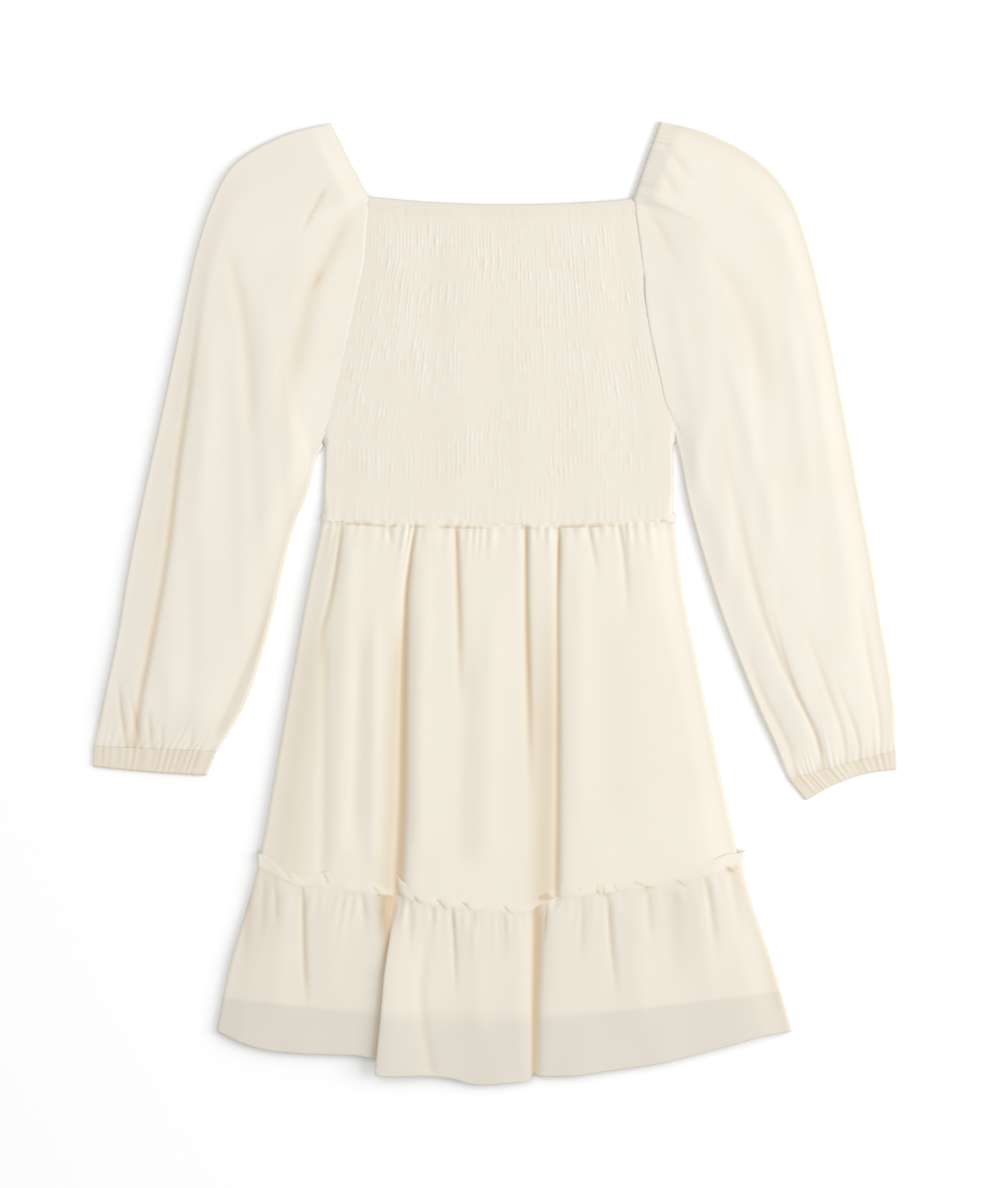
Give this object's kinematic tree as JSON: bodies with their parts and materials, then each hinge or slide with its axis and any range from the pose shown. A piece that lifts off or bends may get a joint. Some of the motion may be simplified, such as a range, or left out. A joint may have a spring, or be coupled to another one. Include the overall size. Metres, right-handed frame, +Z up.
{
  "type": "long sleeve dress",
  "caption": "Girl's long sleeve dress laid flat: smocked square-neck bodice, full sleeves gathered into cuffs, gathered skirt with ruffled headings and a sheer hem tier.",
  "frame": {"origin": "middle of the dress's outline, on the surface that it lies on", "axes": "+Y from the hem to the neck, +X towards the right sleeve as seen from above, +Z up out of the surface, through the front"},
  "size_m": [0.5801, 0.6938, 0.015],
  "materials": {
    "smocked_chiffon": "cream chiffon gathered by rows of elastic stitches",
    "chiffon": "cream chiffon with a fine crepe grain",
    "sheer_chiffon": "cream chiffon, one sheer layer over the lining",
    "lining": "plain cream lining cloth"
  },
  "bodies": {
    "root": {"bodice_front": "smocked_chiffon", "bodice_back": "smocked_chiffon", "sleeve_left": "chiffon", "sleeve_right": "chiffon", "cuff_left": "chiffon", "cuff_right": "chiffon", "waist_heading": "chiffon", "skirt_front": "chiffon", "skirt_back": "chiffon", "tier_heading": "sheer_chiffon", "tier_front": "sheer_chiffon", "tier_back": "sheer_chiffon", "lining_front": "lining", "lining_back": "lining"}
  },
  "joints": []
}
